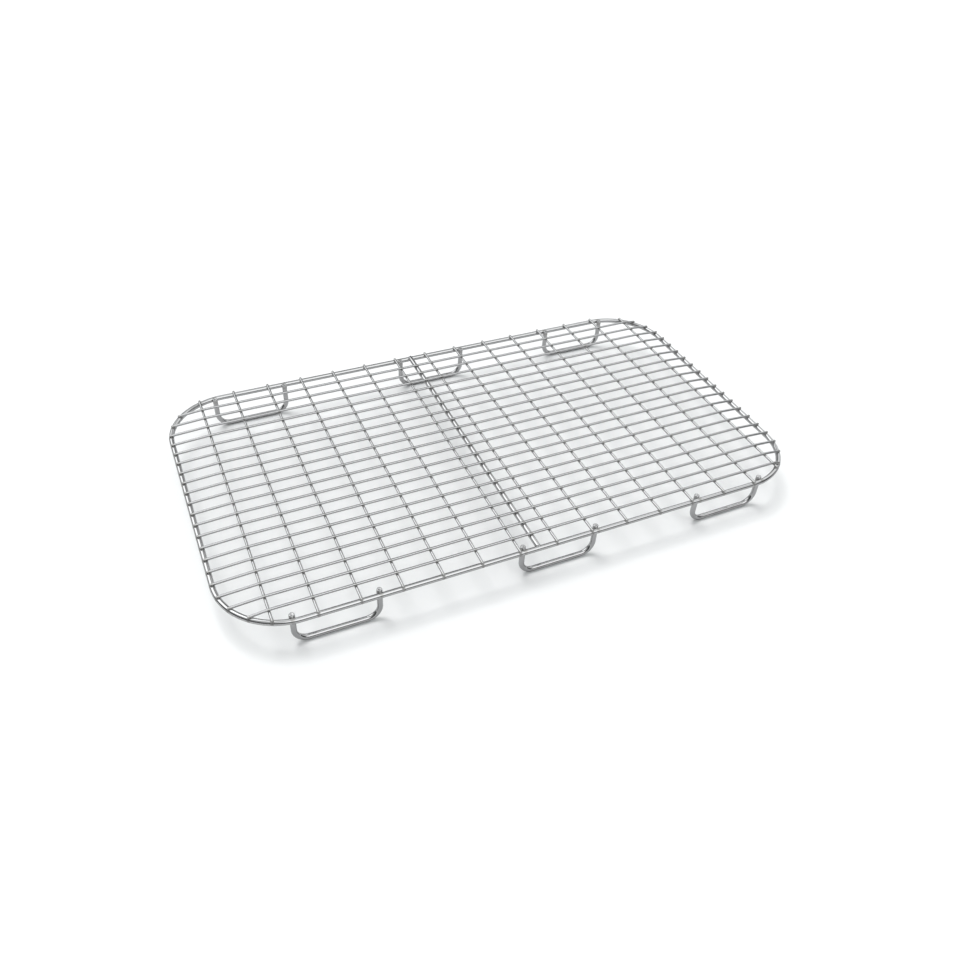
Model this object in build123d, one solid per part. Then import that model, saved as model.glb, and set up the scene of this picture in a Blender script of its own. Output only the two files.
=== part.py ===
from build123d import *
import math
import os

# Footed wire cooling rack: a bent rim, a welded deck of crossing wires, a brace and six U feet.
# Millimetres. Origin on the floor under the middle of the rim, +X along the length, +Z up.

# Rim
overall_length = 457.0        # outside to outside of the rim, along X
overall_width = 261.5         # outside to outside of the rim, along Y
corner_radius = 48.0          # of the rim wire's axis, seen from above
rim_wire = 4.0                # diameter

# Deck wires
long_wire = 2.0               # diameter of the wires that run along X
cross_wire = 2.0              # diameter of the wires that run along Y
long_wire_count = 20
cross_wire_count = 15
front_gap = 11.75             # rim axis to the first long wire's axis
back_gap = 17.75              # rim axis to the last long wire's axis
left_gap = 29.15              # rim axis to the first cross wire's axis
right_gap = 20.65             # rim axis to the last cross wire's axis
long_overhang = 1.2           # how far a long wire's tip passes the rim axis
cross_overhang = 1.2          # how far a cross wire's tip passes the rim axis
longest_end_bend = 90.0       # radius where a long wire starts down to the rim
shortest_end_run = 3.5        # least sloping length of a long wire's end

# Centre brace
brace_wire = 4.0              # diameter
brace_after_cross_wire = 7    # it lies midway between this cross wire and the next

# Feet
foot_wire = 4.0               # diameter
foot_drop = 23.5              # rim axis down to the axis of a foot's bottom run
foot_bend = 10.0              # radius of a foot's axis at its two bends
foot_spaces = 2               # cross-wire spaces that one foot straddles
leg_spread = 1.0              # how much wider a foot is than those spaces
leg_rise = 2.6                # rim axis up to the cut tip of a leg
foot_seats = {"left": (2, 13.0), "centre": (8, 4.5), "right": (13, 7.5)}
# Each seat is the cross wire under the foot's middle and the foot's shift to the right of it.

# Welding
deck_set_down = 0.4           # how deep one deck wire is pressed into another
rim_set_down = 0.4            # how deep a wire or a leg is pressed into the rim
thin_tip_round = 0.3          # rounding of a thin wire's cut end
thick_tip_round = 0.6         # rounding of a thick wire's cut end

# Levels and lines worked out from the sizes above
rim_half_length = (overall_length - rim_wire) / 2
rim_half_width = (overall_width - rim_wire) / 2
corner_x = rim_half_length - corner_radius
corner_y = rim_half_width - corner_radius
foot_level = foot_wire / 2
rim_level = foot_level + foot_drop
cross_level = rim_level + (rim_wire + cross_wire) / 2 - rim_set_down
long_level = cross_level + (cross_wire + long_wire) / 2 - deck_set_down
brace_level = long_level - (long_wire + brace_wire) / 2 + deck_set_down
long_end_level = rim_level + (rim_wire + long_wire) / 2 - rim_set_down
leg_inset = (rim_wire + foot_wire) / 2 - rim_set_down
long_pitch = (2 * rim_half_width - front_gap - back_gap) / (long_wire_count - 1)
cross_pitch = (2 * rim_half_length - left_gap - right_gap) / (cross_wire_count - 1)
foot_span = foot_spaces * cross_pitch + leg_spread


def inside_corner(past, inset):
    """Distance from a corner's centre to the line `inset` inside the rim axis, `past` along it."""
    return math.sqrt((corner_radius - inset) ** 2 - past ** 2)


def rim_y_at(x, inset=0.0):
    """Half width at x of the line that runs `inset` inside the rim axis."""
    past = abs(x) - corner_x
    if past <= 0:
        return rim_half_width - inset
    return corner_y + inside_corner(past, inset)


def rim_x_at(y):
    """Half length of the rim axis at y."""
    past = abs(y) - corner_y
    if past <= 0:
        return rim_half_length
    return corner_x + inside_corner(past, 0.0)


def cross_x(number):
    """Place of a cross wire along X, counted from 1 at the left."""
    return left_gap - rim_half_length + (number - 1) * cross_pitch


def long_y(number):
    """Place of a long wire along Y, counted from 1 at the front."""
    return front_gap - rim_half_width + (number - 1) * long_pitch


def brace_x():
    """Place of the brace along X."""
    return (cross_x(brace_after_cross_wire) + cross_x(brace_after_cross_wire + 1)) / 2


def drawn_wire(path, diameter, tip_round=0.0):
    """Round wire along a path, with its two cut ends rounded."""
    section = Plane(origin=path @ 0, z_dir=path % 0) * Circle(diameter / 2)
    wire = sweep(section, path=path).solid()
    if tip_round == 0.0:
        return wire
    circles = wire.edges().filter_by(GeomType.CIRCLE)
    ends = [path @ 0, path @ 1]
    tips = [edge for edge in circles if min((edge.arc_center - end).length for end in ends) < 0.01]
    return fillet(tips, tip_round).solid()


def straight_wire(start, end, diameter, tip_round):
    """Straight round wire between two points."""
    return drawn_wire(Wire([Edge.make_line(start, end)]), diameter, tip_round)


def make_rim():
    """Rounded rectangle of thick wire: its four straight lengths and four bends, end to end."""
    outline = RectangleRounded(2 * rim_half_length, 2 * rim_half_width, corner_radius)
    lengths = (Pos(0, 0, rim_level) * outline.wire()).edges()
    return Compound([drawn_wire(Wire([length]), rim_wire) for length in lengths])


def make_cross_wire(number, rim):
    """Thin straight wire across the width, its tips pressed onto the rim."""
    x = cross_x(number)
    reach = rim_y_at(x) + cross_overhang
    wire = straight_wire((x, -reach, cross_level), (x, reach, cross_level), cross_wire, thin_tip_round)
    return (wire - rim.solids()).solid()


def make_brace(rim):
    """Thick straight wire across the width, its ends saddled on the inside of the rim."""
    x = brace_x()
    reach = rim_y_at(x)
    wire = straight_wire((x, -reach, brace_level), (x, reach, brace_level), brace_wire, thick_tip_round)
    return (wire - rim.solids()).solid()


def end_points(side, y):
    """Bend and tip of a long wire at one side: it starts down at the last cross wire before the rim."""
    rim_x = rim_x_at(y)
    reaches = [side * cross_x(number) for number in range(1, cross_wire_count + 1)]
    bend = max(reach for reach in reaches if reach <= rim_x - shortest_end_run)
    slope = (long_end_level - long_level) / (rim_x - bend)
    tip = rim_x + long_overhang
    tip_level = long_level + slope * (tip - bend)
    turn = math.atan(abs(slope))
    radius = min(longest_end_bend, 0.45 * (tip - bend) / math.tan(turn / 2))
    return (side * bend, y, long_level), (side * tip, y, tip_level), radius


def make_long_wire(number, seats):
    """Thin wire along the length, on top of the cross wires, its ends bent down onto the rim."""
    y = long_y(number)
    left_bend, left_tip, left_radius = end_points(-1, y)
    right_bend, right_tip, right_radius = end_points(1, y)
    path = FilletPolyline(left_tip, left_bend, right_bend, right_tip, radius=[left_radius, right_radius])
    wire = drawn_wire(path.wire(), long_wire, thin_tip_round)
    return (wire - seats).solid()


def make_foot(side, seat, rim):
    """U of thick wire, its two legs welded to the inside of the rim."""
    cross_number, shift = seat
    middle = cross_x(cross_number) + shift
    left = middle - foot_span / 2
    right = middle + foot_span / 2
    left_y = side * rim_y_at(left, leg_inset)
    right_y = side * rim_y_at(right, leg_inset)
    tip_level = rim_level + leg_rise
    path = FilletPolyline(
        (left, left_y, tip_level),
        (left, left_y, foot_level),
        (right, right_y, foot_level),
        (right, right_y, tip_level),
        radius=foot_bend,
    )
    wire = drawn_wire(path.wire(), foot_wire, thick_tip_round)
    return (wire - rim.solids()).solid()


def make_rack():
    """Every piece of the rack by its name."""
    rim = make_rim()
    cross_wires = [make_cross_wire(number, rim) for number in range(1, cross_wire_count + 1)]
    brace = make_brace(rim)
    seats = rim.solids() + [brace] + cross_wires
    pieces = {"rim": rim, "centre_brace": brace}
    for number, wire in enumerate(cross_wires, start=1):
        pieces[f"cross_wire_{number:02d}"] = wire
    for number in range(1, long_wire_count + 1):
        pieces[f"long_wire_{number:02d}"] = make_long_wire(number, seats)
    for side_name, side in (("front", -1), ("back", 1)):
        for seat_name, seat in foot_seats.items():
            pieces[f"foot_{side_name}_{seat_name}"] = make_foot(side, seat, rim)
    return pieces


os.makedirs("parts", exist_ok=True)
for name, piece in make_rack().items():
    export_step(piece, f"parts/{name}.step")
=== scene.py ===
"""Looks of the footed wire cooling rack: drawn steel wires, weld beads, studio and camera."""

import logging
import math
import random
from dataclasses import dataclass, field
from enum import Enum
from typing import Sequence

import bpy
import numpy as np
from mathutils import Matrix, Vector


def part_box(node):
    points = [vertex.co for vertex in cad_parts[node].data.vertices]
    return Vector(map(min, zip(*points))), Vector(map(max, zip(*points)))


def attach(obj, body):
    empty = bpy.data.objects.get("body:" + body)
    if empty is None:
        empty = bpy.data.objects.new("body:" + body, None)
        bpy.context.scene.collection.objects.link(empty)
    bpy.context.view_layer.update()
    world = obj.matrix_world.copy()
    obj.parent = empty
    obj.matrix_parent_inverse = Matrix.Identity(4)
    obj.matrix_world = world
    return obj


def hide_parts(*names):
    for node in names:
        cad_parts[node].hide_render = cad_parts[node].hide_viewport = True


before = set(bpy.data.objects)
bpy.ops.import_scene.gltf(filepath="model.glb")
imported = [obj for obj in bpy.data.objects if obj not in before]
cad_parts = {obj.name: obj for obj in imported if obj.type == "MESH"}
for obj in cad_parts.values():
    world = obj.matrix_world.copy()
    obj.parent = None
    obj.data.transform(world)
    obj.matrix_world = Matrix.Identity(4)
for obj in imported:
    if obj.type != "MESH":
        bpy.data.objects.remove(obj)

log = logging.getLogger("cooling_rack")
MM = 0.001
BODY = "root"

# Names of the marks stored on each wire's surface
TRAIL = "wire_place"
HEAT = "weld_heat"
SHEAR = "cut_face"

# Directions, and the two sides of a wire's ends
ALONG = (1.0, 0.0, 0.0)
ACROSS = (0.0, 1.0, 0.0)
UP = (0.0, 0.0, 1.0)
DOWN = (0.0, 0.0, -1.0)
SIDES = (-1, 1)

Triple = tuple[float, float, float]
Piece = bpy.types.Object
Socket = bpy.types.NodeSocket
Ends = dict[str, Socket]


class Slot(Enum):
    """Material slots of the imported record."""

    RIM = "rim_wire"
    BRACE = "brace_wire"
    FOOT = "foot_wire"
    CROSS = "cross_wire"
    LONG = "long_wire"


def smooth_step(value: np.ndarray) -> np.ndarray:
    """Soft ramp from 0 to 1 as value goes from 0 to 1."""
    clipped = np.clip(value, 0.0, 1.0)
    return clipped * clipped * (3.0 - 2.0 * clipped)


# Layout read from the frame


@dataclass(frozen=True)
class Gauges:
    """Wire sizes and weld depths, in metres."""

    heavy: float = 4.0 * MM
    thin: float = 2.0 * MM
    set_down: float = 0.4 * MM
    corner_radius: float = 48.0 * MM
    foot_bend: float = 10.0 * MM
    flat_spread: float = 1.15
    seat_share: float = 1.3

    def flat(self, gauge: float) -> float:
        """Half the length of the flat where a wire of this gauge is pressed into another."""
        radius, depth = gauge / 2, self.set_down / 2
        return self.flat_spread * math.sqrt(radius**2 - (radius - depth) ** 2)


@dataclass(frozen=True)
class FootPlace:
    """Where one foot stands: its two legs, its bottom run and the tips of its legs."""

    node: str
    left: tuple[float, float]
    right: tuple[float, float]
    bottom: float
    tip: float


@dataclass(frozen=True)
class Layout:
    """Axes, levels and tips of every wire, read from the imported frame."""

    gauges: Gauges
    rim_half_length: float
    rim_half_width: float
    rim_level: float
    cross_x: tuple[float, ...]
    cross_reach: tuple[float, ...]
    cross_level: float
    long_y: tuple[float, ...]
    long_level: float
    long_tips: tuple[tuple[float, float], ...]
    brace_x: float
    brace_level: float
    feet: tuple[FootPlace, ...]

    @classmethod
    def read(cls, gauges: Gauges) -> "Layout":
        """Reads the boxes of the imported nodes.

        Args:
            gauges: the wire sizes.

        Returns:
            The layout of the rack.
        """
        low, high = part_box("rim")
        cross = [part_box(node) for node in cls.names("cross_wire_")]
        long = [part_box(node) for node in cls.names("long_wire_")]
        brace_low, brace_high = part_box("centre_brace")
        return cls(
            gauges=gauges,
            rim_half_length=(high.x - low.x - gauges.heavy) / 2,
            rim_half_width=(high.y - low.y - gauges.heavy) / 2,
            rim_level=(high.z + low.z) / 2,
            cross_x=tuple((a.x + b.x) / 2 for a, b in cross),
            cross_reach=tuple((b.y - a.y) / 2 for a, b in cross),
            cross_level=max(b.z for _, b in cross) - gauges.thin / 2,
            long_y=tuple((a.y + b.y) / 2 for a, b in long),
            long_level=max(b.z for _, b in long) - gauges.thin / 2,
            long_tips=tuple((a.x, b.x) for a, b in long),
            brace_x=(brace_low.x + brace_high.x) / 2,
            brace_level=brace_high.z - gauges.heavy / 2,
            feet=tuple(cls.foot(node, gauges) for node in cls.names("foot_")),
        )

    @staticmethod
    def names(start: str) -> list[str]:
        """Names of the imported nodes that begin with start, in order."""
        return sorted(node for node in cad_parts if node.startswith(start))

    @staticmethod
    def foot(node: str, gauges: Gauges) -> FootPlace:
        """Finds a foot's legs: the leg nearer a rim corner stands further in.

        Args:
            node: the foot's node.
            gauges: the wire sizes.

        Returns:
            The foot's place.
        """
        low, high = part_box(node)
        radius = gauges.heavy / 2
        left_x, right_x = low.x + radius, high.x - radius
        side = 1.0 if high.y > 0 else -1.0
        outer_y = side * (max(abs(low.y), abs(high.y)) - radius)
        inner_y = side * (min(abs(low.y), abs(high.y)) + radius)
        left_is_inner = abs(left_x) > abs(right_x)
        left_y, right_y = (inner_y, outer_y) if left_is_inner else (outer_y, inner_y)
        return FootPlace(node, (left_x, left_y), (right_x, right_y), low.z + radius, high.z)

    def rim_x_at(self, y: float) -> float:
        """Half length of the rim axis at y.

        Args:
            y: place across the rack.

        Returns:
            The distance from the middle.
        """
        past = abs(y) - (self.rim_half_width - self.gauges.corner_radius)
        if past <= 0:
            return self.rim_half_length
        return self.rim_half_length - self.gauges.corner_radius + self.arc_reach(past)

    def rim_y_at(self, x: float) -> float:
        """Half width of the rim axis at x.

        Args:
            x: place along the rack.

        Returns:
            The distance from the middle.
        """
        past = abs(x) - (self.rim_half_length - self.gauges.corner_radius)
        if past <= 0:
            return self.rim_half_width
        return self.rim_half_width - self.gauges.corner_radius + self.arc_reach(past)

    def arc_reach(self, past: float) -> float:
        """How far the corner arc reaches from its centre, at `past` across from it."""
        return math.sqrt(self.gauges.corner_radius**2 - past**2)

    def seat_level(self) -> float:
        """Level of a thin wire's axis where it lies on the rim."""
        return self.rim_level + (self.gauges.heavy + self.gauges.thin) / 2 - self.gauges.set_down

    def seats(self) -> list[tuple[float, float, Triple]]:
        """Where the deck wires lie on the rim: x, y and the direction of the wire."""
        ends = [(x, side * self.rim_y_at(x), ACROSS) for x in self.cross_x for side in SIDES]
        return ends + [(side * self.rim_x_at(y), y, ALONG) for y in self.long_y for side in SIDES]

    def legs(self) -> list[tuple[float, float]]:
        """Where the legs of the feet stand."""
        return [leg for foot in self.feet for leg in (foot.left, foot.right)]


# Centre lines


@dataclass(frozen=True)
class Run:
    """A straight stretch or an arc of a centre line."""

    start: np.ndarray
    heading: np.ndarray
    length: float
    inward: np.ndarray | None = None
    radius: float = 0.0

    def point(self, along: float) -> np.ndarray:
        """Point at a distance from the run's start.

        Args:
            along: the distance.

        Returns:
            The point.
        """
        if self.inward is None:
            return self.start + self.heading * along
        turn = along / self.radius
        ahead = self.heading * math.sin(turn)
        across = self.inward * (1.0 - math.cos(turn))
        return self.start + self.radius * (ahead + across)

    def direction(self, along: float) -> np.ndarray:
        """Unit heading at a distance from the run's start.

        Args:
            along: the distance.

        Returns:
            The heading.
        """
        if self.inward is None:
            return self.heading
        turn = along / self.radius
        return self.heading * math.cos(turn) + self.inward * math.sin(turn)


class CentreLine:
    """Centre line of a wire: straight runs joined by tangent arcs, all in one plane."""

    ARC_TRIES = 91

    def __init__(self, corners: Sequence[Triple], bends: Sequence[float], up: Sequence[float]) -> None:
        """Builds the runs.

        Args:
            corners: the first end, the corners in between and the last end.
            bends: one bend radius for each corner in between.
            up: unit normal of the plane that the wire lies in.
        """
        self.up = np.array(up, float)
        points = [np.array(corner, float) for corner in corners]
        self.runs: list[Run] = []
        here = points[0]
        for index, bend in enumerate(bends, start=1):
            incoming = self.unit(points[index] - here)
            outgoing = self.unit(points[index + 1] - points[index])
            turn = math.acos(float(np.clip(incoming @ outgoing, -1.0, 1.0)))
            setback = bend * math.tan(turn / 2)
            arc_start = points[index] - incoming * setback
            self.runs.append(Run(here, incoming, float(np.linalg.norm(arc_start - here))))
            inward = self.unit(outgoing - incoming * math.cos(turn))
            self.runs.append(Run(arc_start, incoming, bend * turn, inward, bend))
            here = points[index] + outgoing * setback
        last = points[-1] - here
        self.runs.append(Run(here, self.unit(last), float(np.linalg.norm(last))))
        self.length = sum(run.length for run in self.runs)

    @staticmethod
    def unit(vector: np.ndarray) -> np.ndarray:
        """Vector scaled to length 1."""
        return vector / np.linalg.norm(vector)

    def locate(self, along: float) -> tuple[Run, float]:
        """Run that holds a distance along the line, and the distance within it.

        Args:
            along: the distance along the line.

        Returns:
            The run, and the distance from its start.
        """
        rest = along
        for run in self.runs[:-1]:
            if rest <= run.length:
                return run, rest
            rest -= run.length
        return self.runs[-1], rest

    def point(self, along: float) -> np.ndarray:
        """Point at a distance along the line."""
        run, rest = self.locate(along)
        return run.point(rest)

    def direction(self, along: float) -> np.ndarray:
        """Unit heading at a distance along the line."""
        run, rest = self.locate(along)
        return run.direction(rest)

    def nearest(self, place: Sequence[float]) -> float:
        """Distance along the line of its point nearest to a place.

        Args:
            place: a point near the line.

        Returns:
            The distance along the line, in metres.
        """
        target = np.array(place, float)
        best = (float("inf"), 0.0)
        begin = 0.0
        for run in self.runs:
            if run.inward is None:
                steps = [np.clip((target - run.start) @ run.heading, 0.0, run.length)]
            else:
                steps = np.linspace(0.0, run.length, self.ARC_TRIES)
            for step in steps:
                gap = float(np.linalg.norm(run.point(step) - target))
                best = min(best, (gap, begin + float(step)))
            begin += run.length
        return best[1]

    def marks(self, longest: float, widest_turn: float) -> list[float]:
        """Distances along the line that follow its shape.

        Args:
            longest: most that two marks may be apart on a straight run.
            widest_turn: most that the line may turn between two marks, in radians.

        Returns:
            Distances along the line, in order.
        """
        found = [0.0]
        begin = 0.0
        for run in self.runs:
            by_length = math.ceil(run.length / longest)
            by_turn = 0 if run.inward is None else math.ceil(run.length / run.radius / widest_turn)
            count = max(1, by_length, by_turn)
            found += [begin + run.length * step / count for step in range(1, count + 1)]
            begin += run.length
        return found


# Drawn wire meshes


@dataclass(frozen=True)
class Press:
    """A place where another wire was pressed and welded into this one."""

    along: float
    toward: np.ndarray
    depth: float
    half_length: float

    STEPS = (-3.6, -2.0, -1.3, -0.85, -0.4, 0.0, 0.4, 0.85, 1.3, 2.0, 3.6)
    FLAT_SHARE = 0.55
    HEAT_SPREAD = 1.5
    REACH = 5.0

    def marks(self) -> list[float]:
        """Distances along the wire that follow the dent and its heat."""
        return [self.along + step * self.half_length for step in self.STEPS]

    def dent(self, distance: float) -> float:
        """How much of the full depth is reached at a distance along the wire."""
        away = abs(distance - self.along) / self.half_length
        return 1.0 - float(smooth_step(np.array(away - self.FLAT_SHARE)))

    def reaches(self, distance: float) -> bool:
        """Whether the weld marks the wire at a distance along it."""
        return abs(distance - self.along) <= self.REACH * self.half_length

    def warmth(self, distance: float) -> float:
        """How strongly the weld has heated the wire at a distance along it."""
        away = (distance - self.along) / (self.HEAT_SPREAD * self.half_length)
        return math.exp(-away * away)


@dataclass
class DrawnWire:
    """Round wire swept along a centre line, dented where others are welded into it."""

    line: CentreLine
    gauge: float
    presses: list[Press] = field(default_factory=list)
    sides: int = 16
    closed: bool = False
    tip_round: float = 0.3 * MM
    wander: float = 0.0
    longest_step: float = 9.0 * MM
    widest_turn: float = math.radians(5.0)
    squeeze_out: float = 0.03
    seed: int = 1

    CLOSEST_MARKS = 0.06 * MM
    ELECTRODE_SHARE = 0.12
    FAR_SIDE_HEAT = 0.35
    SWAY_RATES = ((1.5, 3.5), (4.0, 8.0))
    TIP_TURNS = (22.5, 45.0, 67.5, 90.0)
    CUT_STARTS, CUT_FADES = 60.0, 30.0
    FACE_RINGS = (0.82, 0.55, 0.25)
    SHEAR_DISH = 0.05

    def distances(self) -> list[float]:
        """Places of the wire's rings along its centre line, in order.

        Returns:
            Distances along the centre line.
        """
        room = 0.0 if self.closed else self.tip_round
        wanted = self.line.marks(self.longest_step, self.widest_turn)
        for press in self.presses:
            wanted += press.marks()
        low, high = room, self.line.length - room
        inside = sorted(value for value in wanted if low < value < high)
        kept = [low]
        for value in inside:
            if value - kept[-1] > self.CLOSEST_MARKS and high - value > self.CLOSEST_MARKS:
                kept.append(value)
        return kept if self.closed else kept + [high]

    def sway(self, distance: float) -> float:
        """Gentle sideways wander of a hand-laid wire, nil at its ends.

        Args:
            distance: place along the wire.

        Returns:
            How far the wire is off its centre line.
        """
        share = distance / self.line.length
        draw = random.Random(self.seed)
        waves = 0.0
        for order, (slowest, fastest) in enumerate(self.SWAY_RATES, start=1):
            rate, phase = draw.uniform(slowest, fastest), draw.uniform(0, math.tau)
            waves += math.sin(share * rate * math.pi + phase) / order
        return self.wander * waves * math.sin(math.pi * share)

    def ring(self, distance: float) -> tuple[np.ndarray, np.ndarray, np.ndarray]:
        """One ring of the wire's skin.

        Args:
            distance: place of the ring along the centre line.

        Returns:
            The points, their places on the straightened wire and their weld heat.
        """
        radius = self.gauge / 2
        centre = self.line.point(distance)
        heading = self.line.direction(distance)
        across = np.cross(self.line.up, heading)
        angles = np.arange(self.sides) * math.tau / self.sides + math.pi / self.sides
        offsets = radius * (np.outer(np.cos(angles), across) + np.outer(np.sin(angles), self.line.up))
        around = (np.full(self.sides, distance), radius * np.cos(angles), radius * np.sin(angles))
        heat = np.zeros(self.sides)
        for press in (press for press in self.presses if press.reaches(distance)):
            offsets, near = self.dented(offsets, press, distance)
            spread = self.FAR_SIDE_HEAT + (1.0 - self.FAR_SIDE_HEAT) * near
            heat = np.maximum(heat, press.warmth(distance) * spread)
        sideways = np.array((-heading[1], heading[0], 0.0))
        return centre + sideways * self.sway(distance) + offsets, np.column_stack(around), heat

    def dented(self, offsets: np.ndarray, press: Press, distance: float) -> tuple[np.ndarray, ...]:
        """Flattens a ring towards a weld, marks the electrode side and lets the wire spread.

        Args:
            offsets: the ring's points from the wire's axis.
            press: the weld.
            distance: place of the ring along the wire.

        Returns:
            The new offsets, and how near each point is to the weld, from 0 to 1.
        """
        radius, share = self.gauge / 2, press.dent(distance)
        height = offsets @ press.toward
        near = np.clip(0.5 + 0.5 * height / radius, 0.0, 1.0)
        flat = radius - press.depth * share
        back = radius - press.depth * self.ELECTRODE_SHARE * share
        new_height = np.clip(height, -back, flat)
        flattened = offsets + np.outer(new_height - height, press.toward)
        beside = flattened - np.outer(new_height, press.toward)
        return flattened + beside * self.squeeze_out * share, near

    def tip(self, at_end: bool, ring: Sequence[np.ndarray]) -> list[tuple]:
        """Rounded and slightly dished end of a sheared wire.

        Args:
            at_end: whether this is the last end of the centre line.
            ring: the last full ring before the tip.

        Returns:
            Rings from the full one's neighbour to the middle of the cut face.
        """
        points, place, heat = ring
        distance = self.line.length - self.tip_round if at_end else self.tip_round
        centre = points.mean(axis=0)
        outward = self.line.direction(distance) * (1.0 if at_end else -1.0)
        radius = self.gauge / 2
        rings = []
        for turn in self.TIP_TURNS:
            angle = math.radians(turn)
            share = 1.0 - self.tip_round / radius * (1.0 - math.cos(angle))
            forward = self.tip_round * math.sin(angle)
            cut = float(smooth_step(np.array((turn - self.CUT_STARTS) / self.CUT_FADES)))
            rings.append((centre + (points - centre) * share + outward * forward, place, heat, cut))
        face = 1.0 - self.tip_round / radius
        for share in self.FACE_RINGS:
            dish = self.tip_round - self.SHEAR_DISH * self.gauge * (1.0 - share)
            inner = centre + (points - centre) * face * share + outward * dish
            rings.append((inner, place * (1.0, share, share), heat, 1.0))
        return rings

    def build(self, name: str) -> Piece:
        """Builds the wire's mesh.

        Args:
            name: name of the new piece.

        Returns:
            The new object, with its places, weld heat and cut faces as attributes.
        """
        rings = [(*self.ring(distance), 0.0) for distance in self.distances()]
        if not self.closed:
            rings = self.tip(False, rings[0][:3])[::-1] + rings + self.tip(True, rings[-1][:3])
        skin = Skin()
        for ring in rings:
            skin.add_ring(*ring)
        skin.join_rings(len(rings), self.sides, self.closed)
        return skin.make(name)


class Skin:
    """Vertices, faces and surface marks of one mesh while it is being built."""

    def __init__(self) -> None:
        """Starts empty."""
        self.rings: list[tuple[np.ndarray, ...]] = []
        self.faces: list[tuple[int, ...]] = []
        self.count = 0

    def add_ring(self, points: np.ndarray, place: np.ndarray, heat: np.ndarray, cut: float) -> None:
        """Adds points with their places on the straightened wire, weld heat and cut-face share.

        Args:
            points: the points.
            place: their places on the straightened wire.
            heat: their weld heat, from 0 to 1.
            cut: how far they belong to a cut face, from 0 to 1.
        """
        self.rings.append((points, place, heat, np.full(len(points), cut)))
        self.count += len(points)

    def join_rings(self, rings: int, sides: int, closed: bool, first: int = 0) -> None:
        """Lays faces between rings that follow each other, and closes the ends.

        Args:
            rings: how many rings there are.
            sides: points in each ring.
            closed: whether the last ring joins the first.
            first: index of the first ring's first point.
        """
        for ring in range(rings if closed else rings - 1):
            here = first + ring * sides
            there = first + (ring + 1) % rings * sides
            for side in range(sides):
                after = (side + 1) % sides
                self.faces.append((here + side, there + side, there + after, here + after))
        if not closed:
            last = first + (rings - 1) * sides
            self.faces.append(tuple(first + side for side in range(sides)))
            self.faces.append(tuple(last + side for side in reversed(range(sides))))

    def make(self, name: str) -> Piece:
        """Makes the object.

        Args:
            name: name of the new object.

        Returns:
            A smooth-shaded mesh object at the origin.
        """
        points, places, heats, cuts = (np.concatenate(values) for values in zip(*self.rings))
        mesh = bpy.data.meshes.new(name)
        mesh.from_pydata(points.tolist(), [], self.faces)
        mesh.polygons.foreach_set("use_smooth", [True] * len(mesh.polygons))
        self.store(mesh, TRAIL, "FLOAT_VECTOR", "vector", places)
        self.store(mesh, HEAT, "FLOAT", "value", heats)
        self.store(mesh, SHEAR, "FLOAT", "value", cuts)
        mesh.validate()
        mesh.update()
        piece = bpy.data.objects.new(name, mesh)
        bpy.context.scene.collection.objects.link(piece)
        return piece

    @staticmethod
    def store(mesh: bpy.types.Mesh, name: str, kind: str, member: str, values: np.ndarray) -> None:
        """Stores a value for each vertex under a name."""
        attribute = mesh.attributes.new(name, kind, "POINT")
        attribute.data.foreach_set(member, values.astype(np.float32).ravel())


# Shader node groups


class Effect:
    """Base of the shared surface effects: a shader node group built once."""

    name = "effect"
    inputs: tuple[tuple[str, str, object], ...] = ()
    outputs: tuple[tuple[str, str], ...] = ()

    def group(self) -> bpy.types.NodeTree:
        """Returns the group, building it the first time.

        Returns:
            The node group.
        """
        found = bpy.data.node_groups.get(self.name)
        if found is not None:
            return found
        tree = bpy.data.node_groups.new(self.name, "ShaderNodeTree")
        for name, kind, default in self.inputs:
            socket = tree.interface.new_socket(name, in_out="INPUT", socket_type=kind)
            if default is not None:
                socket.default_value = default
        for name, kind in self.outputs:
            tree.interface.new_socket(name, in_out="OUTPUT", socket_type=kind)
        self.wire(Patch(tree))
        return tree

    def wire(self, patch: "Patch") -> None:
        """Lays the group's nodes."""
        raise NotImplementedError


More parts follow.
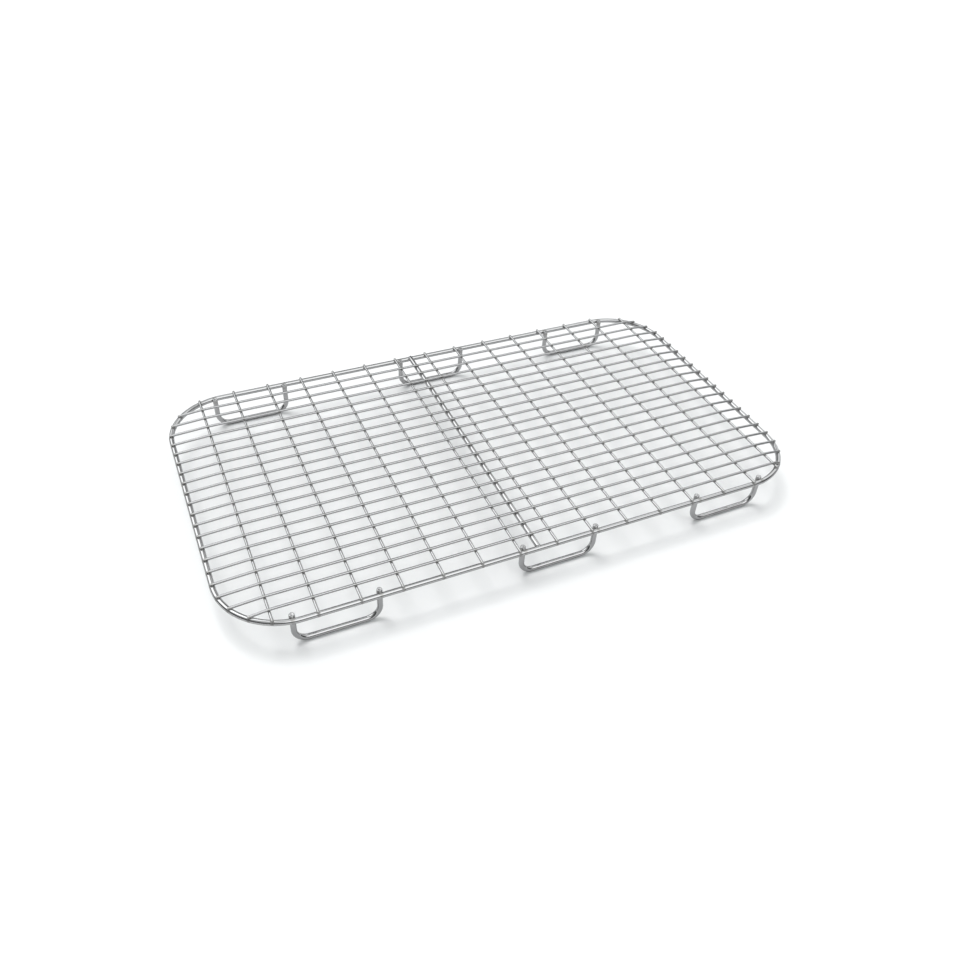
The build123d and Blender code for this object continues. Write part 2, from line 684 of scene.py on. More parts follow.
class Patch:
    """Short ways to add nodes to a tree and join them."""

    def __init__(self, tree: bpy.types.NodeTree) -> None:
        """Keeps the tree and its group ends."""
        self.tree = tree
        self.source = tree.nodes.new("NodeGroupInput") if tree.interface.items_tree else None
        self.sink = tree.nodes.new("NodeGroupOutput") if tree.interface.items_tree else None

    def node(self, kind: str, **settings: object) -> bpy.types.Node:
        """Adds a node and sets its properties.

        Args:
            kind: Blender's name of the node.
            settings: its properties.

        Returns:
            The new node.
        """
        made = self.tree.nodes.new(kind)
        for name, value in settings.items():
            setattr(made, name, value)
        return made

    def join(self, output: Socket, target: Socket) -> None:
        """Links an output to an input."""
        self.tree.links.new(output, target)

    def feed(self, socket: Socket, value: object) -> None:
        """Links a socket, or sets a plain value, on an input.

        Args:
            socket: the input.
            value: an output or a plain value.
        """
        if isinstance(value, Socket):
            self.join(value, socket)
        else:
            socket.default_value = value

    def maths(self, operation: str, first: object, second: object = 0.0, third: object = 0.0) -> Socket:
        """Adds a maths node.

        Args:
            operation: Blender's name of the operation.
            first: first operand, a socket or a number.
            second: second operand.
            third: third operand.

        Returns:
            The node's output.
        """
        made = self.node("ShaderNodeMath", operation=operation)
        for socket, value in zip(made.inputs, (first, second, third)):
            self.feed(socket, value)
        return made.outputs[0]

    def stretched(self, place: Socket, along: object, across: object) -> Socket:
        """Scales a place on the straightened wire, along it and across it.

        Args:
            place: the place.
            along: scale along the wire.
            across: scale across it.

        Returns:
            The scaled place.
        """
        scale = self.node("ShaderNodeCombineXYZ")
        for name, value in (("X", along), ("Y", across), ("Z", across)):
            self.feed(scale.inputs[name], value)
        made = self.node("ShaderNodeVectorMath", operation="MULTIPLY")
        self.join(place, made.inputs[0])
        self.join(scale.outputs["Vector"], made.inputs[1])
        return made.outputs["Vector"]

    def noise(self, place: Socket, scale: float, detail: float, rough: float = 0.55) -> Socket:
        """Adds a noise texture and returns its value.

        Args:
            place: where it is read.
            scale: its scale.
            detail: its layers of detail.
            rough: how strong the fine layers are.

        Returns:
            The noise.
        """
        made = self.node("ShaderNodeTexNoise")
        wanted = {"Vector": place, "Scale": scale, "Detail": detail, "Roughness": rough}
        for name, value in wanted.items():
            self.feed(made.inputs[name], value)
        return made.outputs["Fac"]

    def ramp(self, value: Socket, low: object, high: object) -> Socket:
        """Maps a value between low and high to 0 to 1, softly.

        Args:
            value: the value.
            low: what becomes 0.
            high: what becomes 1.

        Returns:
            The share, from 0 to 1.
        """
        made = self.node("ShaderNodeMapRange", interpolation_type="SMOOTHSTEP")
        self.join(value, made.inputs["Value"])
        self.feed(made.inputs["From Min"], low)
        self.feed(made.inputs["From Max"], high)
        return made.outputs["Result"]

    def blend(self, share: object, first: object, second: object) -> Socket:
        """Mixes two colours by a share.

        Args:
            share: the second colour's share.
            first: the first colour.
            second: the second colour.

        Returns:
            The mixed colour.
        """
        made = self.node("ShaderNodeMix", data_type="RGBA")
        self.feed(made.inputs["Factor"], share)
        self.feed(made.inputs[6], first)
        self.feed(made.inputs[7], second)
        return made.outputs[2]

    def output(self, name: str, value: Socket) -> None:
        """Joins a value to the group's output of that name."""
        self.join(value, self.sink.inputs[name])


class DieLines(Effect):
    """Fine lines that the drawing die leaves along a wire."""

    name = "die_lines"
    inputs = (
        ("Place", "NodeSocketVector", None),
        ("Lines Along", "NodeSocketFloat", 40.0),
        ("Lines Across", "NodeSocketFloat", 9000.0),
    )
    outputs = (("Height", "NodeSocketFloat"), ("Mask", "NodeSocketFloat"))

    BROAD_ALONG, BROAD_ACROSS = 0.5, 0.22
    BROAD_HEIGHT = 0.6

    def wire(self, patch: Patch) -> None:
        """Two stretched noises, fine and broad."""
        ends = patch.source.outputs
        fine_place = patch.stretched(ends["Place"], ends["Lines Along"], ends["Lines Across"])
        slow = patch.maths("MULTIPLY", ends["Lines Along"], self.BROAD_ALONG)
        wide = patch.maths("MULTIPLY", ends["Lines Across"], self.BROAD_ACROSS)
        broad = patch.noise(patch.stretched(ends["Place"], slow, wide), 1.0, 2.0)
        fine = patch.noise(fine_place, 1.0, 3.0)
        patch.output("Height", patch.maths("MULTIPLY_ADD", broad, self.BROAD_HEIGHT, fine))
        patch.output("Mask", patch.ramp(broad, 0.35, 0.7))


class WeldTint(Effect):
    """Grey smoke and straw tint that resistance welding leaves on bright steel."""

    name = "weld_tint"
    inputs = (
        ("Place", "NodeSocketVector", None),
        ("Heat", "NodeSocketFloat", 0.0),
        ("Clean", "NodeSocketColor", (0.7, 0.7, 0.7, 1.0)),
        ("Straw", "NodeSocketColor", (0.6, 0.52, 0.4, 1.0)),
        ("Smoke", "NodeSocketColor", (0.25, 0.25, 0.27, 1.0)),
    )
    outputs = (("Color", "NodeSocketColor"), ("Mask", "NodeSocketFloat"))

    PATCHES = 1400.0
    PATCH_DEPTH, LEAST_HEAT = 0.9, 0.55

    def wire(self, patch: Patch) -> None:
        """Breaks up the heat with noise, then goes from clean through straw to smoke."""
        ends = patch.source.outputs
        patchy = patch.noise(ends["Place"], self.PATCHES, 3.0)
        share = patch.maths("MULTIPLY_ADD", patchy, self.PATCH_DEPTH, self.LEAST_HEAT)
        heat = patch.maths("MULTIPLY", ends["Heat"], share)
        straw = patch.blend(patch.ramp(heat, 0.08, 0.45), ends["Clean"], ends["Straw"])
        smoke = patch.ramp(heat, 0.4, 0.95)
        patch.output("Color", patch.blend(smoke, straw, ends["Smoke"]))
        patch.output("Mask", patch.ramp(heat, 0.15, 0.9))


class Handling(Effect):
    """Faint rubs and hairline scratches from racking and washing."""

    name = "handling_marks"
    inputs = (("Place", "NodeSocketVector", None), ("Amount", "NodeSocketFloat", 0.5))
    outputs = (("Rub", "NodeSocketFloat"), ("Scratch", "NodeSocketFloat"))

    RUBS_ALONG, RUBS_ACROSS = 70.0, 420.0
    LINES_ALONG, LINES_ACROSS = 900.0, 500.0
    LINE_WIDTH = 0.012

    def wire(self, patch: Patch) -> None:
        """Cloudy rubs, and thin marks where a skewed noise crosses its middle."""
        ends = patch.source.outputs
        rubs = patch.stretched(ends["Place"], self.RUBS_ALONG, self.RUBS_ACROSS)
        cloud = patch.ramp(patch.noise(rubs, 1.0, 4.0), 0.45, 0.75)
        patch.output("Rub", patch.maths("MULTIPLY", cloud, ends["Amount"]))
        lines = patch.stretched(ends["Place"], self.LINES_ALONG, self.LINES_ACROSS)
        skew = patch.noise(lines, 1.0, 2.0)
        off_middle = patch.maths("ABSOLUTE", patch.maths("SUBTRACT", skew, 0.5))
        line = patch.maths("SUBTRACT", 1.0, patch.ramp(off_middle, 0.0, self.LINE_WIDTH))
        patch.output("Scratch", patch.maths("MULTIPLY", line, ends["Amount"]))


class ShearMarks(Effect):
    """Torn grain on the cut face of a sheared wire."""

    name = "shear_marks"
    inputs = (("Place", "NodeSocketVector", None), ("Cut", "NodeSocketFloat", 0.0))
    outputs = (("Height", "NodeSocketFloat"), ("Mask", "NodeSocketFloat"))

    GRAINS, GRAIN_ROUGHNESS = 5200.0, 0.65

    def wire(self, patch: Patch) -> None:
        """Coarse grain, shown only on cut faces."""
        ends = patch.source.outputs
        grain = patch.noise(ends["Place"], self.GRAINS, 4.0, self.GRAIN_ROUGHNESS)
        patch.output("Height", patch.maths("MULTIPLY", grain, ends["Cut"]))
        patch.output("Mask", patch.ramp(ends["Cut"], 0.2, 0.9))


@dataclass(frozen=True)
class SteelFinish:
    """Bright stainless wire: its tone, polish and how marked it is."""

    name: str
    tone: Triple
    polish: float
    die_depth: float
    lines_across: float
    handling: float
    straw: Triple = (0.45, 0.445, 0.435)
    smoke: Triple = (0.33, 0.33, 0.335)

    LINES_ALONG = 30.0
    WELD_DULLING = 0.30
    CUT_DULLING = 0.16
    RUB_DULLING = 0.14
    LINE_DULLING = 0.07
    RELIEF = 0.02 * MM
    BUMP_STRENGTH = 0.5
    SCRATCH_HEIGHT, GRAIN_HEIGHT = -0.4, 2.5

    def material(self) -> bpy.types.Material:
        """Builds the material, or returns it if it is there.

        Returns:
            The material of this finish.
        """
        found = bpy.data.materials.get(self.name)
        if found is not None:
            return found
        material = bpy.data.materials.new(self.name)
        material.use_nodes = True
        material.node_tree.nodes.clear()
        patch = Patch(material.node_tree)
        place = patch.node("ShaderNodeAttribute", attribute_name=TRAIL).outputs["Vector"]
        heat = patch.node("ShaderNodeAttribute", attribute_name=HEAT).outputs["Fac"]
        cut = patch.node("ShaderNodeAttribute", attribute_name=SHEAR).outputs["Fac"]
        colours = {"Clean": self.tone, "Straw": self.straw, "Smoke": self.smoke}
        tint_values = {name: (*colour, 1.0) for name, colour in colours.items()}
        die_values = {"Lines Along": self.LINES_ALONG, "Lines Across": self.lines_across}
        marks = {
            "lines": self.place(patch, DieLines(), {"Place": place, **die_values}),
            "tint": self.place(patch, WeldTint(), {"Place": place, "Heat": heat, **tint_values}),
            "wear": self.place(patch, Handling(), {"Place": place, "Amount": self.handling}),
            "shear": self.place(patch, ShearMarks(), {"Place": place, "Cut": cut}),
        }
        shader = patch.node("ShaderNodeBsdfPrincipled")
        shader.inputs["Metallic"].default_value = 1.0
        patch.join(marks["tint"]["Color"], shader.inputs["Base Color"])
        patch.join(self.dulling(patch, marks), shader.inputs["Roughness"])
        patch.join(self.relief(patch, marks), shader.inputs["Normal"])
        out = patch.node("ShaderNodeOutputMaterial")
        patch.join(shader.outputs["BSDF"], out.inputs["Surface"])
        return material

    @staticmethod
    def place(patch: Patch, effect: Effect, values: dict[str, object]) -> Ends:
        """Places a shared effect in a material.

        Args:
            patch: the material's patch.
            effect: the effect.
            values: what its inputs get, by name.

        Returns:
            The group node's outputs by name.
        """
        made = patch.node("ShaderNodeGroup")
        made.node_tree = effect.group()
        for name, value in values.items():
            patch.feed(made.inputs[name], value)
        return {socket.name: socket for socket in made.outputs}

    def dulling(self, patch: Patch, marks: dict[str, Ends]) -> Socket:
        """Adds up what makes the polish duller, from place to place.

        Args:
            patch: the material's patch.
            marks: outputs of the four effects.

        Returns:
            The roughness.
        """
        total = patch.maths("MULTIPLY_ADD", marks["lines"]["Mask"], self.LINE_DULLING, self.polish)
        total = patch.maths("MULTIPLY_ADD", marks["wear"]["Rub"], self.RUB_DULLING, total)
        total = patch.maths("MULTIPLY_ADD", marks["tint"]["Mask"], self.WELD_DULLING, total)
        return patch.maths("MULTIPLY_ADD", marks["shear"]["Mask"], self.CUT_DULLING, total)

    def relief(self, patch: Patch, marks: dict[str, Ends]) -> Socket:
        """Turns die lines, scratches and torn grain into a bumped normal.

        Args:
            patch: the material's patch.
            marks: outputs of the four effects.

        Returns:
            The normal.
        """
        height = patch.maths("MULTIPLY", marks["lines"]["Height"], self.die_depth)
        height = patch.maths("MULTIPLY_ADD", marks["wear"]["Scratch"], self.SCRATCH_HEIGHT, height)
        height = patch.maths("MULTIPLY_ADD", marks["shear"]["Height"], self.GRAIN_HEIGHT, height)
        bump = patch.node("ShaderNodeBump")
        bump.inputs["Strength"].default_value = self.BUMP_STRENGTH
        bump.inputs["Distance"].default_value = self.RELIEF
        patch.join(height, bump.inputs["Height"])
        return bump.outputs["Normal"]


RIM_FINISH = SteelFinish("bright_rim_steel", (0.58, 0.58, 0.585), 0.07, 0.35, 5200.0, 0.55)
HEAVY_FINISH = SteelFinish("bright_heavy_steel", (0.57, 0.57, 0.575), 0.08, 0.4, 5200.0, 0.6)
THIN_FINISH = SteelFinish("bright_thin_steel", (0.53, 0.532, 0.538), 0.09, 0.45, 9000.0, 0.5)
BEAD_FINISH = SteelFinish("weld_bead_steel", (0.50, 0.50, 0.505), 0.18, 0.2, 4000.0, 0.4)


# Sub-assemblies


@dataclass
class SubAssembly:
    """A group of pieces that share a layout, a finish and a material slot."""

    layout: Layout
    finish: SteelFinish
    slot: Slot

    @property
    def gauges(self) -> Gauges:
        """Wire sizes and weld depths."""
        return self.layout.gauges

    def dress(self, piece: Piece, *nodes: str) -> Piece:
        """Gives a piece its finish and body, and hides the CAD nodes that it stands for.

        Args:
            piece: the new piece.
            nodes: CAD nodes that it stands for.

        Returns:
            The same piece.
        """
        piece.data.materials.append(self.finish.material())
        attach(piece, BODY)
        if nodes:
            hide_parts(*nodes)
        log.info("%s: %d faces", piece.name, len(piece.data.polygons))
        return piece

    def press(self, line: CentreLine, place: Triple, toward: Sequence[float], half: float) -> Press:
        """Makes the dent of one weld.

        Args:
            line: the dented wire's centre line.
            place: where the weld is.
            toward: unit direction from the wire to the weld.
            half: half the length of the dent's flat.

        Returns:
            The dent.
        """
        return Press(line.nearest(place), np.array(toward, float), self.gauges.set_down / 2, half)


@dataclass
class Rim(SubAssembly):
    """Heavy wire bent to a rounded rectangle, dented by everything welded onto it."""

    sides: int = 28

    def line(self) -> CentreLine:
        """Centre line of the rim, from the middle of the back side round to itself.

        Returns:
            The centre line.
        """
        x, y, z = self.layout.rim_half_length, self.layout.rim_half_width, self.layout.rim_level
        corners = [(0, y, z), (-x, y, z), (-x, -y, z), (x, -y, z), (x, y, z), (0, y, z)]
        return CentreLine(corners, [self.gauges.corner_radius] * 4, UP)

    def presses(self, line: CentreLine) -> list[Press]:
        """Dents of the deck wires on top of the rim and of the legs inside it.

        Args:
            line: the rim's centre line.

        Returns:
            The dents.
        """
        level = self.layout.rim_level
        thin, heavy = self.gauges.flat(self.gauges.thin), self.gauges.flat(self.gauges.heavy)
        found = [self.press(line, (x, y, level), UP, thin) for x, y, _ in self.layout.seats()]
        for x, y in self.layout.legs():
            place = (x, y, level)
            inward = CentreLine.unit(np.array(place) - line.point(line.nearest(place)))
            found.append(self.press(line, place, inward, heavy))
        return found

    def build(self) -> Piece:
        """Builds the rim.

        Returns:
            The new piece.
        """
        line = self.line()
        wire = DrawnWire(line, self.gauges.heavy, self.presses(line), self.sides, closed=True)
        wire.squeeze_out = 0.0
        return self.dress(wire.build("polished_rim"), "rim")


@dataclass
class ThinWires(SubAssembly):
    """One layer of the deck: numbered thin wires that each wander a little."""

    wander: float = 0.10 * MM
    first_seed: int = 101

    def thin_wire(self, kind: str, index: int, line: CentreLine, presses: list[Press]) -> Piece:
        """Builds one wire of the layer.

        Args:
            kind: the kind of wire, as in its node's name.
            index: the wire's index, from 0.
            line: its centre line.
            presses: its dents.

        Returns:
            The new piece.
        """
        seed = self.first_seed + index
        wire = DrawnWire(line, self.gauges.thin, presses, wander=self.wander, seed=seed)
        node = f"{kind}_{index + 1:02d}"
        return self.dress(wire.build("bright_" + node), node)


@dataclass
class CrossWires(ThinWires):
    """Thin straight wires across the width, under the long wires and on top of the rim."""

    def presses(self, line: CentreLine, x: float) -> list[Press]:
        """Dents of the long wires above and of the rim below.

        Args:
            line: the wire's centre line.
            x: the wire's place along the rack.

        Returns:
            The dents.
        """
        level, reach = self.layout.cross_level, self.layout.rim_y_at(x)
        half = self.gauges.flat(self.gauges.thin)
        crossed = [y for y in self.layout.long_y if abs(y) < reach]
        found = [self.press(line, (x, y, level), UP, half) for y in crossed]
        wide = half * self.gauges.seat_share
        return found + [self.press(line, (x, side * reach, level), DOWN, wide) for side in SIDES]

    def build(self) -> list[Piece]:
        """Builds the cross wires.

        Returns:
            The new pieces.
        """
        pieces = []
        level = self.layout.cross_level
        for index, (x, reach) in enumerate(zip(self.layout.cross_x, self.layout.cross_reach)):
            line = CentreLine([(x, -reach, level), (x, reach, level)], [], UP)
            pieces.append(self.thin_wire("cross_wire", index, line, self.presses(line, x)))
        return pieces


@dataclass
class LongWires(ThinWires):
    """Thin wires along the length, over the cross wires, bent down onto the rim at both ends."""

    wander: float = 0.14 * MM
    first_seed: int = 201
    longest_bend: float = 90.0 * MM
    shortest_slope: float = 3.5 * MM
    bend_share: float = 0.45

    def end(self, side: int, y: float, tip_x: float) -> tuple[Triple, Triple, float]:
        """Shape of one end of a wire, which starts down at the last cross wire before the rim.

        Args:
            side: -1 for the left end and 1 for the right end.
            y: the wire's place across the rack.
            tip_x: where the tip ends.

        Returns:
            The bend's corner, the tip and the bend radius.
        """
        layout = self.layout
        rim_x = layout.rim_x_at(y)
        bend = max(side * x for x in layout.cross_x if side * x <= rim_x - self.shortest_slope)
        slope = (layout.seat_level() - layout.long_level) / (rim_x - bend)
        run = side * tip_x - bend
        radius = min(self.longest_bend, self.bend_share * run / math.tan(math.atan(abs(slope)) / 2))
        return (side * bend, y, layout.long_level), (tip_x, y, layout.long_level + slope * run), radius

    def presses(self, line: CentreLine, y: float) -> list[Press]:
        """Dents of the cross wires and the brace below, and of the rim at the ends.

        Args:
            line: the wire's centre line.
            y: the wire's place across the rack.

        Returns:
            The dents.
        """
        layout, reach = self.layout, self.layout.rim_x_at(y)
        thin = self.gauges.flat(self.gauges.thin)
        wide = thin * self.gauges.seat_share
        spots = [(x, thin) for x in layout.cross_x if abs(y) < layout.rim_y_at(x)]
        spots += [(layout.brace_x, wide), (-reach, wide), (reach, wide)]
        return [self.press(line, (x, y, layout.long_level), DOWN, half) for x, half in spots]

    def build(self) -> list[Piece]:
        """Builds the long wires.

        Returns:
            The new pieces.
        """
        pieces = []
        for index, (y, (left_x, right_x)) in enumerate(zip(self.layout.long_y, self.layout.long_tips)):
            left_bend, left_tip, left_radius = self.end(-1, y, left_x)
            right_bend, right_tip, right_radius = self.end(1, y, right_x)
            corners = [left_tip, left_bend, right_bend, right_tip]
            line = CentreLine(corners, [left_radius, right_radius], (0.0, -1.0, 0.0))
            pieces.append(self.thin_wire("long_wire", index, line, self.presses(line, y)))
        return pieces


@dataclass
class Brace(SubAssembly):
    """Heavy wire across the middle, under the long wires, its ends on the rim."""

    sides: int = 24
    tip_round: float = 0.6 * MM

    def build(self) -> Piece:
        """Builds the brace.

        Returns:
            The new piece.
        """
        x, level = self.layout.brace_x, self.layout.brace_level
        reach = self.layout.rim_y_at(x)
        line = CentreLine([(x, -reach, level), (x, reach, level)], [], UP)
        half = self.gauges.flat(self.gauges.thin)
        presses = [self.press(line, (x, y, level), UP, half) for y in self.layout.long_y]
        wire = DrawnWire(line, self.gauges.heavy, presses, self.sides, tip_round=self.tip_round)
        return self.dress(wire.build("polished_centre_brace"), "centre_brace")


@dataclass
class Feet(SubAssembly):
    """Heavy U wires whose legs stand inside the rim."""

    sides: int = 28
    tip_round: float = 0.6 * MM

    def foot(self, place: FootPlace) -> Piece:
        """Builds one foot, down its left leg and up its right one.

        Args:
            place: where the foot stands.

        Returns:
            The new piece.
        """
        left, right, level = place.left, place.right, self.layout.rim_level
        corners = [(*left, place.tip), (*left, place.bottom)]
        corners += [(*right, place.bottom), (*right, place.tip)]
        sideways = CentreLine.unit(np.array((right[1] - left[1], left[0] - right[0], 0.0)))
        line = CentreLine(corners, [self.gauges.foot_bend] * 2, sideways)
        outward = (0.0, math.copysign(1.0, left[1]), 0.0)
        half = self.gauges.flat(self.gauges.heavy)
        presses = [self.press(line, (*leg, level), outward, half) for leg in (left, right)]
        wire = DrawnWire(line, self.gauges.heavy, presses, self.sides, tip_round=self.tip_round)
        return self.dress(wire.build("polished_" + place.node), place.node)

    def build(self) -> list[Piece]:
        """Builds the feet."""
        return [self.foot(place) for place in self.layout.feet]


@dataclass(frozen=True)
class Bead:
    """A small lens of weld metal squeezed out between two wires."""

    centre: Triple
    along: Triple
    normal: Triple
    reach: Triple


@dataclass
class WeldBeads(SubAssembly):
    """Beads of weld metal at the crossings, on the rim and at the legs."""

    crossing_reach: Triple = (0.98 * MM, 0.98 * MM, 0.42 * MM)
    brace_crossing_reach: Triple = (1.15 * MM, 0.98 * MM, 0.42 * MM)
    seat_reach: Triple = (1.15 * MM, 1.02 * MM, 0.42 * MM)
    leg_reach: Triple = (1.9 * MM, 1.7 * MM, 0.75 * MM)
    brace_reach: Triple = (2.5 * MM, 1.2 * MM, 0.9 * MM)
    brace_inset: float = 0.72
    around: int = 12
    unevenness: float = 0.10
    heat: float = 0.3

    TURNS = (-68.0, -40.0, -14.0, 14.0, 40.0, 68.0)

    def lens(self, skin: Skin, bead: Bead, draw: random.Random) -> None:
        """Adds one uneven lens to a skin.

        Args:
            skin: the mesh being built.
            bead: where the lens lies and how far it reaches.
            draw: source of the unevenness.
        """
        along = CentreLine.unit(np.array(bead.along, float))
        normal = CentreLine.unit(np.array(bead.normal, float))
        half_axes = np.array((along, np.cross(normal, along), normal)) * np.array(bead.reach)[:, None]
        first = skin.count
        most = self.unevenness
        swell = np.array([1.0 + draw.uniform(-most, most) for _ in range(self.around)])
        step = math.tau / self.around
        angles = draw.uniform(0.0, step) + step * np.arange(self.around)
        for tilt in np.radians(self.TURNS):
            flat = math.cos(tilt) * swell
            rise = np.full(self.around, math.sin(tilt))
            ring = np.column_stack((flat * np.cos(angles), flat * np.sin(angles), rise)) @ half_axes
            skin.add_ring(ring + np.array(bead.centre), ring, np.full(self.around, self.heat), 0.0)
        skin.join_rings(len(self.TURNS), self.around, False, first)

    def piece(self, name: str, beads: Sequence[Bead], seed: int) -> Piece:
        """Builds one piece that holds several beads.

        Args:
            name: the new piece's name.
            beads: the beads.
            seed: seed of their unevenness.

        Returns:
            The new piece.
        """
        skin = Skin()
        draw = random.Random(seed)
        for bead in beads:
            self.lens(skin, bead, draw)
        return self.dress(skin.make(name))

    def deck(self) -> list[Bead]:
        """Beads where long wires cross the cross wires and the brace.

        Returns:
            The beads.
        """
        layout = self.layout
        level = (layout.cross_level + layout.long_level) / 2
        beads = []
        for x in layout.cross_x:
            for y in layout.long_y:
                if abs(y) < layout.rim_y_at(x) and abs(x) < layout.rim_x_at(y):
                    beads.append(Bead((x, y, level), ALONG, UP, self.crossing_reach))
        places = [(layout.brace_x, y, level) for y in layout.long_y]
        return beads + [Bead(place, ALONG, UP, self.brace_crossing_reach) for place in places]

    def seats(self) -> list[Bead]:
        """Beads where deck wires lie on the rim."""
        level = self.layout.rim_level + (self.gauges.heavy - self.gauges.set_down) / 2
        return [Bead((x, y, level), along, UP, self.seat_reach) for x, y, along in self.layout.seats()]

    def legs(self) -> list[Bead]:
        """Beads where the legs and the brace meet the rim's inside.

        Returns:
            The beads.
        """
        layout, level = self.layout, self.layout.rim_level
        beads = []
        for x, y in layout.legs():
            rim_y = math.copysign(layout.rim_y_at(x), y)
            beads.append(Bead((x, (y + rim_y) / 2, level), UP, ACROSS, self.leg_reach))
        inset = self.brace_inset * self.gauges.heavy / 2
        for side in SIDES:
            place = (layout.brace_x, side * (layout.rim_y_at(layout.brace_x) - inset), level + inset)
            beads.append(Bead(place, ALONG, (0.0, -side, 1.0), self.brace_reach))
        return beads

    def build(self) -> list[Piece]:
        """Builds the three pieces of weld metal.

        Returns:
            The new pieces.
        """
        return [
            self.piece("deck_weld_beads", self.deck(), 11),
            self.piece("rim_weld_beads", self.seats(), 12),
            self.piece("leg_weld_beads", self.legs(), 13),
        ]


# Studio


@dataclass(frozen=True)
class SoftKey:
    """Wide soft key light, far enough away to light the floor evenly."""

    lean_back: float = 20.0
    lean_left: float = 8.0
    spread: float = 26.0
    strength: float = 1.3
    tint: Triple = (1.0, 0.985, 0.98)

    def build(self) -> None:
        """Hangs the light overhead, leaning back and to the left."""
        lamp = bpy.data.lights.new("soft_key", "SUN")
        lamp.angle = math.radians(self.spread)
        lamp.energy = self.strength
        lamp.color = self.tint
        holder = bpy.data.objects.new("soft_key", lamp)
        left, back = (math.tan(math.radians(lean)) for lean in (self.lean_left, self.lean_back))
        toward = Vector((-left, back, 1.0))
        holder.location = toward
        holder.rotation_euler = toward.to_track_quat("Z", "Y").to_euler()
        holder.visible_glossy = False
        bpy.context.scene.collection.objects.link(holder)


@dataclass(frozen=True)
class SoftPanel:
    """A softly edged bright patch of the room, in one direction from the rack."""

    name: str
    heading: Triple
    full_within: float
    gone_beyond: float
    brightness: float

    def add_to(self, patch: Patch, heading: Socket, light: Socket) -> Socket:
        """Adds this panel's light to what the room already gives.

        Args:
            patch: the room's node patch.
            heading: direction that is looked up.
            light: brightness so far.

        Returns:
            The new brightness.
        """
        meet = patch.node("ShaderNodeVectorMath", operation="DOT_PRODUCT", label=self.name)
        patch.join(heading, meet.inputs[0])
        meet.inputs[1].default_value = Vector(self.heading).normalized()
        far = math.cos(math.radians(self.gone_beyond))
        near = math.cos(math.radians(self.full_within))
        share = patch.ramp(meet.outputs["Value"], far, near)
        return patch.maths("MULTIPLY_ADD", share, self.brightness, light)


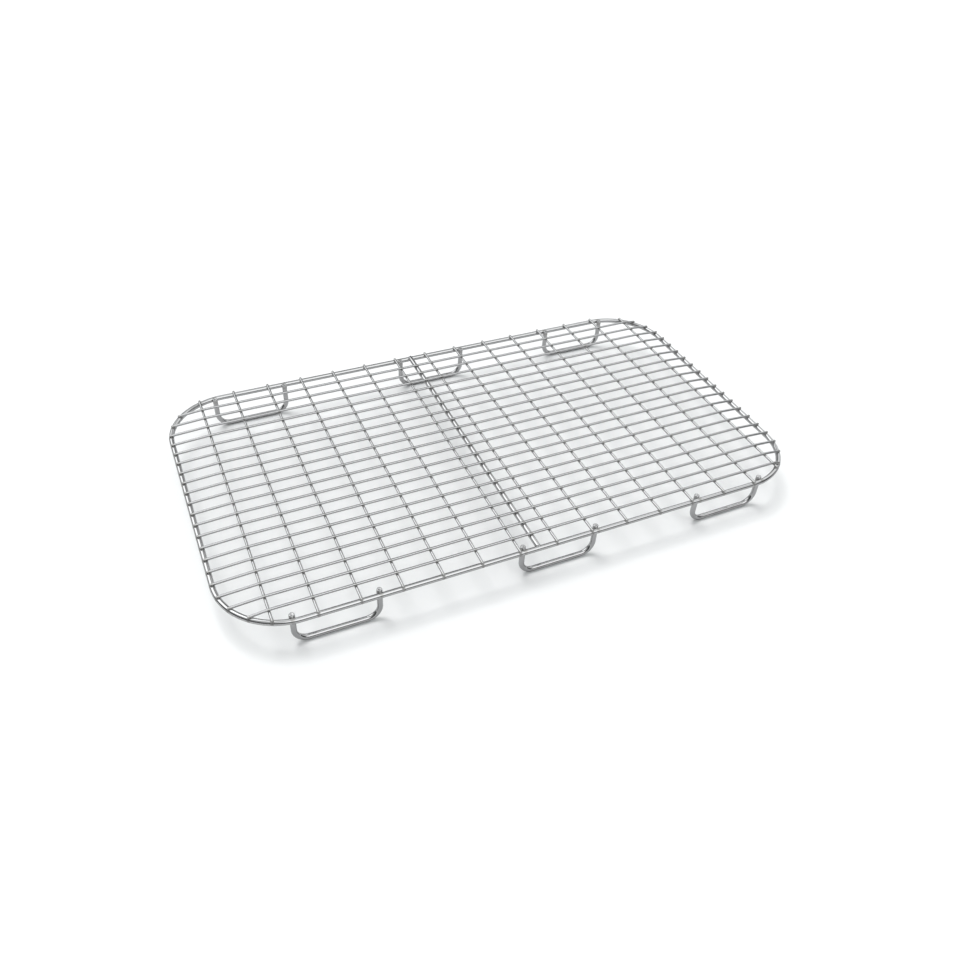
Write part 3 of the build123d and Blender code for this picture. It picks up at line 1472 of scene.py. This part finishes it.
@dataclass(frozen=True)
class Studio:
    """Pale floor, soft room light, the key light and the camera."""

    floor_size: float = 6.0
    floor_roughness: float = 0.7
    floor_sheen: float = 0.2
    floor_tone: Triple = (0.86, 0.87, 0.875)
    # Painted shade: darker floor tone seen only in reflections on the wires, standing in for the
    # shadowed floor under the rack
    reflected_floor_painted_shade: Triple = (0.56, 0.565, 0.57)
    wall_tone: Triple = (0.93, 0.935, 0.94)
    azimuth: float = -26.05
    elevation: float = 41.10
    roll: float = 3.13
    aim: Triple = (-0.0204, -0.0505, 0.0289)
    distance: float = 0.6456
    lens: float = 31.91
    sensor: float = 36.0
    nearest: float = 10.0 * MM
    key: SoftKey = SoftKey()
    ceiling: tuple[tuple[float, float], ...] = (
        (0.0, 0.05), (0.3, 0.08), (0.5, 0.15), (0.7, 0.36), (0.85, 0.64), (1.0, 0.78),
    )
    panels: tuple[SoftPanel, ...] = (
        SoftPanel("back_left_window", (-0.38, 0.62, 0.69), 16.0, 34.0, 1.6),
        SoftPanel("front_ceiling_panel", (0.20, -0.60, 0.77), 12.0, 36.0, 1.15),
        SoftPanel("right_wall_panel", (0.78, 0.35, 0.50), 14.0, 38.0, 0.85),
    )
    room_tint: Triple = (0.985, 1.0, 1.0)

    def floor(self) -> None:
        """Lays a pale matt floor under the feet; in glossy reflections it takes a darker tone, a
        painted shade standing in for the shadow under the rack.
        """
        half = self.floor_size / 2
        edge = [(-half, -half, 0), (half, -half, 0), (half, half, 0), (-half, half, 0)]
        mesh = bpy.data.meshes.new("studio_floor")
        mesh.from_pydata(edge, [], [(0, 1, 2, 3)])
        floor = bpy.data.objects.new("studio_floor", mesh)
        bpy.context.scene.collection.objects.link(floor)
        paper = bpy.data.materials.new("pale_paper_with_painted_shade")
        paper.use_nodes = True
        shader = paper.node_tree.nodes["Principled BSDF"]
        shader.inputs["Roughness"].default_value = self.floor_roughness
        shader.inputs["Specular IOR Level"].default_value = self.floor_sheen
        patch = Patch(paper.node_tree)
        # Painted shade: glossy rays see the floor in the darker tone, so the wires reflect a shaded
        # floor
        painted_shade_share = patch.node("ShaderNodeLightPath").outputs["Is Glossy Ray"]
        tone = patch.blend(painted_shade_share, (*self.floor_tone, 1.0), (*self.reflected_floor_painted_shade, 1.0))
        patch.join(tone, shader.inputs["Base Color"])
        mesh.materials.append(paper)

    def surroundings(self) -> None:
        """Fills the room: bright overhead, darker towards the horizon."""
        world = bpy.data.worlds.new("studio_room")
        world.use_nodes = True
        bpy.context.scene.world = world
        world.node_tree.nodes.clear()
        patch = Patch(world.node_tree)
        heading = patch.node("ShaderNodeTexCoord").outputs["Generated"]
        split = patch.node("ShaderNodeSeparateXYZ")
        patch.join(heading, split.inputs["Vector"])
        ramp = patch.node("ShaderNodeValToRGB")
        patch.join(split.outputs["Z"], ramp.inputs["Fac"])
        stops = ramp.color_ramp.elements
        for height, _ in self.ceiling[1:-1]:
            stops.new(height)
        for stop, (height, tone) in zip(stops, self.ceiling):
            stop.position = height
            stop.color = (tone, tone, tone, 1.0)
        light = ramp.outputs["Color"]
        for panel in self.panels:
            light = panel.add_to(patch, heading, light)
        back = patch.node("ShaderNodeBackground")
        back.inputs["Color"].default_value = (*self.room_tint, 1.0)
        patch.join(light, back.inputs["Strength"])
        wall = patch.node("ShaderNodeBackground")
        wall.inputs["Color"].default_value = (*self.wall_tone, 1.0)
        seen = patch.node("ShaderNodeMixShader")
        patch.join(patch.node("ShaderNodeLightPath").outputs["Is Camera Ray"], seen.inputs["Fac"])
        patch.join(back.outputs["Background"], seen.inputs[1])
        patch.join(wall.outputs["Background"], seen.inputs[2])
        patch.join(seen.outputs["Shader"], patch.node("ShaderNodeOutputWorld").inputs["Surface"])

    def camera(self) -> None:
        """Sets the camera above the front left corner, looking down at the deck."""
        turn, lift, lean = (math.radians(angle) for angle in (self.azimuth, self.elevation, self.roll))
        out = math.cos(lift)
        back = Vector((math.sin(turn) * out, -math.cos(turn) * out, math.sin(lift)))
        level = Vector((0, 0, 1)).cross(back).normalized()
        upright = back.cross(level)
        right = level * math.cos(lean) + upright * math.sin(lean)
        above = upright * math.cos(lean) - level * math.sin(lean)
        camera = bpy.data.cameras.new("deck_camera")
        camera.lens = self.lens
        camera.sensor_width = self.sensor
        camera.clip_start = self.nearest
        holder = bpy.data.objects.new("deck_camera", camera)
        turned = Matrix((right, above, back)).transposed().to_4x4()
        holder.matrix_world = Matrix.Translation(Vector(self.aim) + back * self.distance) @ turned
        bpy.context.scene.collection.objects.link(holder)
        bpy.context.scene.camera = holder

    def build(self) -> None:
        """Builds the floor, the room, the key light and the camera."""
        self.floor()
        self.surroundings()
        self.key.build()
        self.camera()
        bpy.context.scene.view_settings.view_transform = "Standard"


def corners(bounds: Sequence[Sequence[float]]) -> list[list[float]]:
    """Bounds as plain lists of numbers."""
    return [[float(value) for value in corner] for corner in bounds]


def main() -> None:
    """Builds the rack's looks and the studio."""
    logging.basicConfig(level=logging.INFO, format="%(name)s %(message)s")
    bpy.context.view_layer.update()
    Studio().build()
    layout = Layout.read(Gauges())
    Rim(layout, RIM_FINISH, Slot.RIM).build()
    CrossWires(layout, THIN_FINISH, Slot.CROSS).build()
    LongWires(layout, THIN_FINISH, Slot.LONG).build()
    Brace(layout, HEAVY_FINISH, Slot.BRACE).build()
    Feet(layout, HEAVY_FINISH, Slot.FOOT).build()
    WeldBeads(layout, BEAD_FINISH, Slot.CROSS).build()


if __name__ == "__main__":
    main()
